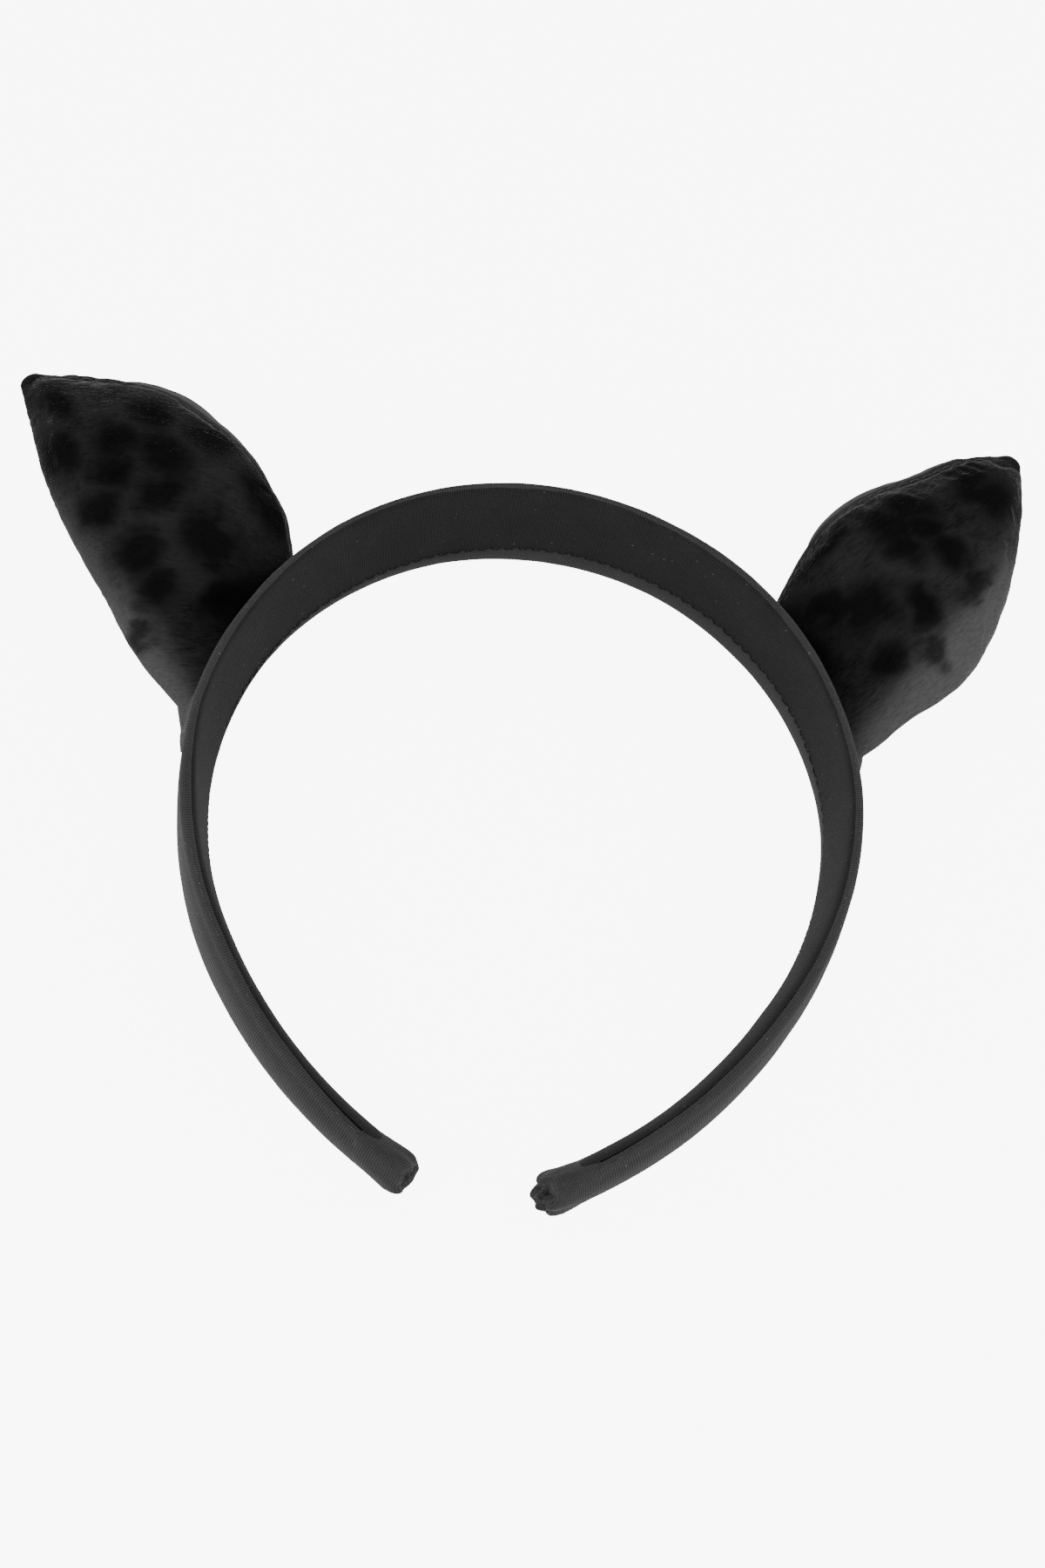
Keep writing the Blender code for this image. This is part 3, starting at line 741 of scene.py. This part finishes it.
def tip_fold(name, side, seed, rag):
    """The gathered end of the ribbon, drawn together over the tip of the core."""
    end = BAND_HALF_LENGTH
    # How far along, and how much of the band's outline is left there.
    profile = [(-11.0, 0.955), (-9.6, 1.0), (-8.0, 1.04), (-6.0, 1.08), (-4.0, 1.13), (-2.2, 1.16),
               (-0.8, 1.12), (0.1, 1.03), (0.65, 0.90), (0.85, 0.77), (0.60, 0.66), (0.10, 0.57),
               (-0.30, 0.48), (0.10, 0.39), (0.60, 0.30), (0.65, 0.22), (0.30, 0.14), (0.1, 0.05)]
    width = band_width(end)
    columns = 64
    fine = []
    for k in range(columns):
        angle = 2 * math.pi * k / columns
        up = width * (0.5 - 0.5 * math.copysign(abs(math.cos(angle)) ** 0.75, math.cos(angle)))
        inner, outer = face_outs(side, end - 0.004, up)
        bulge = math.copysign(abs(math.sin(angle)) ** 0.6, math.sin(angle))
        fine.append(((inner + outer) / 2 + (outer - inner) / 2 * bulge, up))
    fine = np.array(fine)
    middle = np.array((0.0, width / 2))
    rows = []
    for along, share in profile:
        station = end + along * MM
        depth = np.clip((along + 9.0) / 9.0, 0, 1) ** 2
        inner = 1 - share if along > -1.5 else 0.0
        ring = []
        for offset in fine - middle:
            angle = math.atan2(offset[1], offset[0])
            fold = 0.55 * math.sin(5 * angle + seed + 2.2 * inner) + 0.35 * math.sin(9 * angle - 2 * seed)
            local = offset * (share + 0.075 * depth * fold)
            tall = (band_width(station) - width) * 0.5 * (offset[1] / (width / 2)) if along < 0 else 0.0
            out, up = local[0], middle[1] + local[1] + tall + (band_width(station) - width) / 2
            lobes = 0.6 * math.sin(3 * angle + 1.7 * seed) + 0.5 * math.sin(7 * angle + seed)
            lag = rag * MM * depth * lobes
            slope = rag * 0.9 * MM * depth * (-offset[1] / (width / 2))
            ring.append(band_point(side * (station + lag + slope), out, max(up, 0.0)))
        rows.append(ring)
    mesh = grid_mesh(name, rows, wrap=True, cap_ends=True)
    face_out(mesh)
    places = places_of(mesh)
    stations = np.repeat([end + along * MM for along, _ in profile], columns)
    fade = np.clip((stations - end + 9 * MM) / (6 * MM), 0, 1)
    lift = 0.16 * noise_at(places, 0.0016, seed) + 0.22 * noise_at(places, 0.0034, 2 + seed)
    lift *= MM * fade
    moved = places + normals_of(mesh) * lift[:, None]
    moved[:, 2] = np.maximum(moved[:, 2], 0.0)
    move_to(mesh, moved)
    store(mesh, "along", side * stations)
    around = np.arange(columns) / columns * 2 * (width + 2 * BAND_HALF)
    store(mesh, "across", np.tile(around, len(profile)))
    return mesh


# ---------------------------------------------------------------- the ears

def smooth_value(values, share):
    """A smooth curve through evenly spaced values."""
    last = len(values) - 1
    ends = (2 * values[0] - values[1], *values, 2 * values[last] - values[last - 1])
    share = min(max(share, 0.0), 1.0)
    i = min(int(share * last), last - 1)
    t = share * last - i
    a, b, c, d = ends[i:i + 4]
    cubic = (3 * b - a - 3 * c + d) * t ** 3
    return (2 * b + (c - a) * t + (2 * a - 5 * b + 4 * c - d) * t ** 2 + cubic) / 2


def unit(vector):
    return vector / np.linalg.norm(vector)


class Ear:
    """The places on one ear. A share runs from 0 at the base to 1 at the tip, and an angle goes
    round a section: 0 towards the crown, 90 degrees to the front and 180 degrees away."""

    def __init__(self, word):
        facts = EARS[word]
        self.word, self.side, self.length = word, facts["side"], facts["length"]
        self.station = facts["station"] * self.side
        self.crown_edge, self.outer_edge = facts["crown_edge"], facts["outer_edge"]
        self.seed, self.blotches, self.seam = facts["seed"], facts["blotches"], facts["seam"]
        lean = facts["lean"]
        self.base_up = facts["base_up"]
        self.hinge = band_point(self.station, BAND_HALF, self.base_up)
        _, self.outward, self.crownward = band_frame(self.station)
        flat = self.outward * math.cos(lean) + self.crownward * math.sin(lean)
        self.spine = flat * math.cos(EAR_RAISE) + UP * math.sin(EAR_RAISE)
        self.across = self.crownward * math.cos(lean) - self.outward * math.sin(lean)
        self.front = unit(np.cross(self.across, self.spine))
        if self.front[2] < 0:
            self.front = -self.front
        self.base_radius = self.radius_at(abs(self.station))

    @staticmethod
    def radius_at(station):
        for length, radius in BAND_ARCS:
            station -= length
            if station < 0:
                return radius + BAND_HALF
        return BAND_ARCS[-1][1]

    def crown_seam(self, share):
        return math.radians(smooth_value(self.seam, share))

    def half_width(self, share):
        return (smooth_value(self.crown_edge, share) + smooth_value(self.outer_edge, share)) / 2

    def half_thickness(self, share, puff):
        rise = min(share / 0.35, 1.0)
        rise = rise * rise * (3 - 2 * rise)
        puffed = max(puff * self.half_width(share), TIP_HALF_THICKNESS)
        return BASE_HALF_THICKNESS * (1 - rise) + puffed * rise

    def point(self, share, angle, out=0.0, drop=0.0):
        """A point on the ear's surface, moved out from it, or dropped from the base to the band."""
        turn = min(share / 0.35, 1.0)
        across = unit(self.crownward * (1 - turn) + self.across * turn)
        front = unit(np.cross(across, self.spine))
        if front[2] < 0:
            front = -front
        middle = self.hinge + self.outward * (BASE_CLEARANCE - drop)
        middle = middle + self.spine * (self.length - BASE_CLEARANCE) * share
        shift = (smooth_value(self.crown_edge, share) - smooth_value(self.outer_edge, share)) / 2
        puff = FRONT_PUFF if math.sin(angle) > 0 else BACK_PUFF
        neck = 1 - 0.22 * (drop / BASE_CLEARANCE) ** 2
        along = (self.half_width(share) + out) * math.cos(angle)
        depth = (self.half_thickness(share, puff) * neck + out) * math.sin(angle)
        sag = along ** 2 / (2 * self.base_radius) * max(0.0, 1 - share / 0.3) ** 2
        return middle + across * (along + shift) + front * depth - self.outward * sag

    def local(self, places):
        """Places as distances across, along and to the front of the ear."""
        offset = places - self.hinge
        return np.stack([offset @ self.across, offset @ self.spine, offset @ self.front], axis=1)


def even_angles(first, last, count, flatness):
    """Angles between two that step evenly round an ellipse."""
    fine = np.linspace(first, last, 400)
    x, y = np.cos(fine), flatness * np.sin(fine)
    run = np.concatenate([[0], np.cumsum(np.hypot(np.diff(x), np.diff(y)))])
    return np.interp(np.linspace(0, run[-1], count + 1), run, fine)


EAR_ROWS = 62
PANEL_COLUMNS = 52
# How far each closing ring is past the last row (mm) and how much of its size it keeps.
TIP_RINGS = ((0.35, 0.93), (0.75, 0.76), (1.05, 0.50), (1.20, 0.22))


def ear_skin(ear):
    """The whole skin of an ear: velvet front faces have material 0, satin back faces 1."""
    rows, shares, angles = [], [], []

    def add_row(share, drop=0.0):
        seam = ear.crown_seam(share)
        front = even_angles(seam, SEAM_OUTER, PANEL_COLUMNS, 0.48)
        back = even_angles(SEAM_OUTER, seam + 2 * math.pi, PANEL_COLUMNS, 0.42)
        angles.append(np.concatenate([front[:-1], back[:-1]]))
        rows.append([ear.point(share, a, drop=drop) for a in angles[-1]])
        shares.append(share - drop / ear.length)

    for drop in (3.3, 2.4, 1.2):
        add_row(0.0, drop * MM)
    for i in range(EAR_ROWS + 1):
        add_row(0.992 * math.sin(math.pi / 2 * i / EAR_ROWS))
    # The tip closes in small rings, as a blunt rounded end.
    for lift, keep in TIP_RINGS:
        last = np.array(rows[EAR_ROWS + 3])
        centre = last.mean(axis=0)
        rows.append(list(centre + (last - centre) * keep + ear.spine * lift * MM))
        shares.append(1.0)
        angles.append(angles[-1])
    columns = 2 * PANEL_COLUMNS
    mesh = grid_mesh(f"ear_skin_{ear.word}", rows, wrap=True)
    work = bmesh.new()
    work.from_mesh(mesh)
    work.verts.ensure_lookup_table()
    work.faces.new([work.verts[(len(rows) - 1) * columns + j] for j in range(columns)])
    bmesh.ops.recalc_face_normals(work, faces=work.faces)
    work.to_mesh(mesh)
    work.free()
    for polygon in mesh.polygons:
        column = min(v % columns for v in polygon.vertices)
        wraps = max(v % columns for v in polygon.vertices) - column > columns / 2
        at_tip = max(polygon.vertices) >= (EAR_ROWS + 3) * columns
        polygon.material_index = 1 if (wraps or column >= PANEL_COLUMNS) and not at_tip else 0
    outwards = ear.point(0.5, math.pi / 2, out=0.05)
    probe = min(mesh.polygons, key=lambda p: (Vector(ear.point(0.5, math.pi / 2)) - p.center).length)
    if probe.normal.dot(Vector(outwards) - probe.center) < 0:
        mesh.flip_normals()
    return mesh, np.array(shares), np.array(angles)


def sculpt_skin(ear, mesh, shares, angles):
    """Presses in the seams and adds the puckers, gathers and lumps of a stuffed skin."""
    places, normals = places_of(mesh), normals_of(mesh)
    share = np.repeat(shares, angles.shape[1])
    angle = angles.ravel()
    crown_seam = np.repeat(angles[:, 0], angles.shape[1])
    local = ear.local(places)
    size = np.array([ear.half_width(max(s, 0.0)) for s in share])
    along = local[:, 1]
    lift = np.zeros(len(places))
    for seam, groove, reach in ((crown_seam, 0.50, 0.8), (SEAM_OUTER, 0.35, 0.8)):
        turn = (angle - seam + math.pi) % (2 * math.pi) - math.pi
        slope = np.hypot(size * np.sin(seam), size * 0.45 * np.cos(seam))
        away = turn * slope / MM
        wave = np.sin(along / (3.1 * MM) * 2 * math.pi + 2.4 * noise_at(places, 0.009, ear.seed))
        lift += -groove * np.exp(-(away / reach) ** 2)
        lift += 0.10 * wave * np.exp(-np.abs(away) / 2.4) * np.clip(np.abs(away) / 0.8, 0, 1)
        if seam is crown_seam:
            # The satin side of the crown seam stands up as a narrow roll.
            lift += 0.42 * np.exp(-((away + 1.25) / 0.62) ** 2)
    gather = np.sin(local[:, 0] / (5.6 * MM) * 2 * math.pi + 3 * noise_at(places, 0.012, 2.5 + ear.seed))
    lift += 0.20 * gather * np.exp(-np.clip(along, 0, None) / (7.5 * MM)) * np.abs(np.sin(angle))
    lift += 0.50 * noise_at(places, 0.024, ear.seed) * np.clip(share / 0.2, 0, 1)
    lift += 0.10 * noise_at(places, 0.0085, 4.0 + ear.seed)
    fade = np.clip((1.0 - share) / 0.10, 0.0, 1)
    move_to(mesh, places + normals * (lift * fade * MM)[:, None])


# The cloth runs on a skin that is this many times too big, for this many steps, and no point of
# it moves further than the reach.
SIM_SCALE = 8.0
SIM_STEPS = 20
SIM_REACH = 1.0 * MM
EAR_PRESSURE = 2.2
EAR_SLACK = 0.035


def relax_skin(ear, mesh, shares, columns):
    """Blows the skin up gently as cloth, held at its seams and base, so that it sits like a stuffed bag."""
    scale = SIM_SCALE
    rest = places_of(mesh)
    sim_mesh = mesh.copy()
    move_to(sim_mesh, (rest - ear.hinge) * scale)
    puppet = bpy.data.objects.new("ear_cloth", sim_mesh)
    scene = bpy.context.scene
    scene.collection.objects.link(puppet)
    held = puppet.vertex_groups.new(name="held")
    rows = len(shares)
    for i in range(rows):
        for j in range(columns):
            at_seam = j in (0, PANEL_COLUMNS)
            if i < 5 or i > rows - 8 or at_seam:
                held.add([i * columns + j], 1.0, "REPLACE")
    cloth = puppet.modifiers.new("Cloth", "CLOTH")
    settings = cloth.settings
    settings.quality = 5
    settings.mass = 0.25
    settings.tension_stiffness = 25.0
    settings.compression_stiffness = 25.0
    settings.shear_stiffness = 8.0
    settings.bending_stiffness = 0.35
    settings.tension_damping = settings.compression_damping = settings.shear_damping = 12.0
    settings.air_damping = 4.0
    settings.shrink_min = -EAR_SLACK
    settings.use_pressure = True
    settings.uniform_pressure_force = EAR_PRESSURE
    settings.vertex_group_mass = "held"
    settings.effector_weights.gravity = 0.0
    cloth.collision_settings.use_collision = False
    for step in range(1, SIM_STEPS + 1):
        scene.frame_set(step)
    graph = bpy.context.evaluated_depsgraph_get()
    shaped = puppet.evaluated_get(graph).to_mesh()
    moved = places_of(shaped) / scale + ear.hinge
    puppet.evaluated_get(graph).to_mesh_clear()
    scene.frame_set(1)
    bpy.data.objects.remove(puppet, do_unlink=True)
    # The cloth may slide and swell, but it keeps the outline of its cut.
    shift = moved - rest
    normals = normals_of(mesh)
    sunk = np.minimum(np.sum(shift * normals, axis=1), 0.0)
    shift -= normals * sunk[:, None] * 0.8
    length = np.linalg.norm(shift, axis=1)
    keep = np.where(length > SIM_REACH, SIM_REACH / np.maximum(length, 1e-9), 1.0)
    move_to(mesh, rest + shift * keep[:, None])


def subdivided(mesh):
    """The mesh after one step of subdivision."""
    temp = bpy.data.objects.new("temp", mesh)
    bpy.context.scene.collection.objects.link(temp)
    modifier = temp.modifiers.new("Smooth", "SUBSURF")
    modifier.levels = modifier.render_levels = 1
    modifier.boundary_smooth = "PRESERVE_CORNERS"
    graph = bpy.context.evaluated_depsgraph_get()
    result = bpy.data.meshes.new_from_object(temp.evaluated_get(graph), depsgraph=graph)
    bpy.data.objects.remove(temp, do_unlink=True)
    return result


def panel_of(mesh, name, index):
    """The faces of one material, as a mesh of their own."""
    copy = mesh.copy()
    copy.name = name
    work = bmesh.new()
    work.from_mesh(copy)
    others = [face for face in work.faces if face.material_index != index]
    bmesh.ops.delete(work, geom=others, context="FACES")
    for face in work.faces:
        face.material_index = 0
    work.to_mesh(copy)
    work.free()
    return copy


def blotch_field(ear, places):
    """1 in the middle of a dark blotch, 0 outside, with an even fall between."""
    local = ear.local(places) / MM
    flat = local.copy()
    for i in (0, 1):
        wander = 1.7 * noise_at(places, 0.0062, 11.0 + 7 * i + ear.seed)
        wander += 1.0 * noise_at(places, 0.0027, 23.0 + 5 * i + ear.seed)
        flat[:, i] += wander
    field = np.zeros(len(places))
    for x, y, wide, tall, turn in ear.blotches:
        c, s = math.cos(math.radians(turn)), math.sin(math.radians(turn))
        u = ((flat[:, 0] - x) * c + (flat[:, 1] - y) * s) / wide
        v = (-(flat[:, 0] - x) * s + (flat[:, 1] - y) * c) / tall
        field = np.maximum(field, np.clip(1.10 - 0.48 * np.hypot(u, v), 0, 1))
    return field * (local[:, 2] > -6)


def seam_stitches(name, ear):
    """Stitches along the ear's seam, up the crown side and up the outer side, stopping short of the tip."""
    routes = []
    first, last = 0.02, 0.955
    for seam in (ear.crown_seam, lambda share: SEAM_OUTER):
        spans = [first + (last - first) * i / 400 for i in range(401)]
        line = [ear.point(share, seam(share)) for share in spans]
        run = np.concatenate([[0], np.cumsum([np.linalg.norm(b - a) for a, b in zip(line, line[1:])])])
        line = np.array(line)
        dice = random.Random(31 + ear.seed)
        at = 0.6 * MM
        while at + 2.6 * MM < run[-1]:
            length = dice.uniform(*SEAM_STITCH) * MM
            route = []
            for i in range(7):
                t = i / 6
                place = np.array([np.interp(at + length * t, run, line[:, k]) for k in range(3)])
                share = first + (last - first) * (at + length * t) / run[-1]
                angle = seam(share)
                outside = unit(ear.point(share, angle, out=0.002) - ear.point(share, angle))
                route.append(place + outside * (-0.22 + 0.34 * math.sin(math.pi * t)) * MM)
            routes.append(route)
            at += length + dice.uniform(*SEAM_STITCH_GAP) * MM
    return tubes_mesh(name, routes, SEAM_THREAD_RADIUS)


def ear_filling(name, ear):
    """The wad of fibre inside."""
    angles = [2 * math.pi * k / 40 for k in range(40)]
    rows = []
    for i in range(23):
        share = 0.05 + 0.87 * math.sin(math.pi / 2 * i / 22)
        rows.append([ear.point(share, a, out=-0.0024) for a in angles])
    mesh = grid_mesh(name, rows, wrap=True, cap_ends=True)
    face_out(mesh)
    places = places_of(mesh)
    move_to(mesh, places + normals_of(mesh) * (0.35 * MM * noise_at(places, 0.004, ear.seed))[:, None])
    return mesh


def ear_tab(name, ear):
    """The folded seam allowance that is sewn down on the band, with its tail past the outer corner."""
    crown_reach, tail_reach, taper_length = 0.0195, 0.0285, 0.0090
    fold_start, fold_end = 0.009, 0.0245
    foot = BAND_HALF + 0.00034
    rows = []
    count = 44
    for i in range(count + 1):
        along = -crown_reach + (crown_reach + tail_reach) * i / count
        taper = min((tail_reach - along) / taper_length, 1.0)
        ends = min(1.0, (along + crown_reach) / 0.0015 + 0.35, (tail_reach - along) / 0.0025 + 0.25)
        half = 0.0042 * (0.4 + 0.6 * taper) * ends
        crest = 0.0006 + (0.0004 + 0.0013 * taper) * ends
        # The outer corner's cloth runs down the band as a fold that gets lower.
        rise = min(max((along - fold_start) / 0.006, 0.0), 1.0)
        fall = min(max((fold_end - along) / 0.009, 0.0), 1.0)
        crest += 0.0034 * rise * fall ** 1.4
        ring = []
        for k in range(28):
            angle = 2 * math.pi * k / 28
            up = half * math.cos(angle)
            if math.sin(angle) > 0:
                out = 0.0006 + (crest - 0.0006) * math.exp(-(up / (0.45 * half)) ** 2)
                out *= math.sin(angle) ** 0.35
            else:
                out = 0.0
            ring.append(band_point(ear.station + ear.side * along, foot + out, ear.base_up + up))
        rows.append(ring)
    mesh = grid_mesh(name, rows, wrap=True, cap_ends=True)
    face_out(mesh)
    places = places_of(mesh)
    move_to(mesh, places + normals_of(mesh) * (0.10 * MM * noise_at(places, 0.0022, 3 + ear.seed))[:, None])
    return mesh


def tab_stitches(name, ear):
    """Stitches that hold the tab, along its front and along its back."""
    reach, line = 0.0190, 0.0027
    routes = []
    for up in (line, -line):
        at = -reach
        while at < reach:
            route = []
            for i in range(6):
                t = i / 5
                bow = math.sin(math.pi * t)
                station = ear.station + ear.side * (at + 1.7 * MM * t)
                route.append(band_point(station, BAND_HALF + (0.78 + 0.38 * bow) * MM, ear.base_up + up))
            routes.append(route)
            at += 2.3 * MM
    return tubes_mesh(name, routes, THREAD_RADIUS)


# ---------------------------------------------------------------- all the pieces

def band_piece(mesh, material, side, word, node):
    """A layer of the band, from the crown to its arm."""
    piece = add_piece(mesh, material)
    start, end = band_frame(side * FLEX_START)[0], band_frame(side * FLEX_END)[0]
    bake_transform(piece)
    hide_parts(f"{node}_{word}", f"{node}_crown")
    return piece


def flat_size(side, end, path_of):
    """The ribbon's cut before it is folded over the band: (width, length) and its area."""
    widths = []
    for i in range(41):
        section = np.array(path_of(side, end * i / 40))
        widths.append(np.linalg.norm(np.diff(section, axis=0), axis=1).sum())
    return (max(widths), end), end * (sum(widths) - (widths[0] + widths[-1]) / 2) / 40


def build_band(materials):
    for word, side in (("left", -1), ("right", 1)):
        mesh = band_sheet(f"ribbon_cover_{word}", side, COVER_END, cover_path, 0.10 * MM, hem_slant=0.0011)
        cover = band_piece(mesh, materials["cover"], side, word, "cover")
        mesh = band_sheet(f"ribbon_lining_{word}", side, LINING_END, lining_path, 0.07 * MM)
        lining = band_piece(mesh, materials["lining"], side, word, "lining")
        mesh = hem_stitches(f"hem_stitches_{word}", side, STITCHES_END)
        band_piece(mesh, materials["thread"], side, word, "hem_thread")
        mesh = band_bar(f"plastic_core_{word}", side, CORE_END, 0.18, 0.49, 0.0013, 0.0006)
        core = band_piece(mesh, materials["core"], side, word, "core")
        mesh = band_bar(f"foam_padding_{word}", side, PADDING_END, 0.55, 0.86, 0.0014, 0.0006)
        padding = band_piece(mesh, materials["foam"], side, word, "padding")
        flat, area = flat_size(side, COVER_END, cover_path)
        flat, area = flat_size(side, LINING_END, lining_path)
        seed, rag = (1.3, 0.35) if word == "left" else (4.1, 1.0)
        tip = add_piece(tip_fold(f"tip_gather_{word}", side, seed, rag), materials["cover"])
        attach(tip, f"{word}_arm")
        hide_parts(f"tip_wrap_{word}")


def build_ear(word, materials):
    ear = Ear(word)
    skin, shares, angles = ear_skin(ear)
    sculpt_skin(ear, skin, shares, angles)
    relax_skin(ear, skin, shares, angles.shape[1])
    skin = subdivided(skin)
    pieces = []
    for name, index, material, slot, node in (
        (f"velvet_front_{word}", 0, materials[f"velvet_{word}"], "ear_velvet", f"ear_front_{word}"),
        (f"satin_back_{word}", 1, materials["satin"], "ear_satin", f"ear_back_{word}"),
    ):
        mesh = panel_of(skin, name, index)
        places = places_of(mesh)
        store(mesh, "ear_place", ear.local(places))
        store(mesh, "blotch", blotch_field(ear, places))
        piece = add_piece(mesh, material)
        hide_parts(node)
        pieces.append(piece)
    filling = add_piece(ear_filling(f"fibre_filling_{word}", ear), materials["filling"])
    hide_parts(f"ear_stuffing_{word}")
    stitches = add_piece(seam_stitches(f"ear_stitches_{word}", ear), materials["seam_thread"])
    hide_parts(f"ear_edge_thread_{word}")
    for piece in (*pieces, filling, stitches):
        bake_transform(piece)
    tab = ear_tab(f"ear_tab_{word}", ear)
    store(tab, "ear_place", ear.local(places_of(tab)))
    store(tab, "blotch", np.zeros(len(tab.vertices)))
    tab = add_piece(tab, materials[f"velvet_{word}"])
    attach(tab, f"{word}_arm")
    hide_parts(f"ear_flange_{word}")
    held = add_piece(tab_stitches(f"tab_stitches_{word}", ear), materials["thread"])
    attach(held, f"{word}_arm")
    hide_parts(f"flange_thread_{word}")


def main():
    make_camera()
    make_studio()
    materials = {
        "cover": ribbon_material("ribbed_ribbon", (0.006, 0.006, 0.0064), (0.056, 0.056, 0.057),
                                 sheen=0.18),
        "lining": ribbon_material("ribbed_lining", (0.0035, 0.0035, 0.0038), (0.036, 0.036, 0.0365),
                                  sheen=0.06, specular=0.14),
        "core": grainy_material("core_plastic", (0.02, 0.02, 0.02), (0.045, 0.045, 0.045), 700.0,
                                0.00005, 0.42),
        "foam": grainy_material("padding_foam", (0.05, 0.05, 0.05), (0.16, 0.16, 0.16), 900.0, 0.0003, 0.9),
        "satin": satin_material("ear_satin"),
        "filling": grainy_material("fibre_filling", (0.60, 0.60, 0.58), (0.85, 0.85, 0.83), 600.0, 0.0006,
                                   0.95, sheen=0.3),
        "thread": thread_material("black_thread", (0.003, 0.003, 0.003), (0.014, 0.014, 0.014), 0.55),
        "seam_thread": thread_material("seam_thread", (0.008, 0.008, 0.008), (0.090, 0.090, 0.090),
                                       0.28),
    }
    for word in EARS:
        materials[f"velvet_{word}"] = velvet_material(f"ear_velvet_{word}", EARS[word]["nap"])
    build_band(materials)
    for word in EARS:
        build_ear(word, materials)


main()
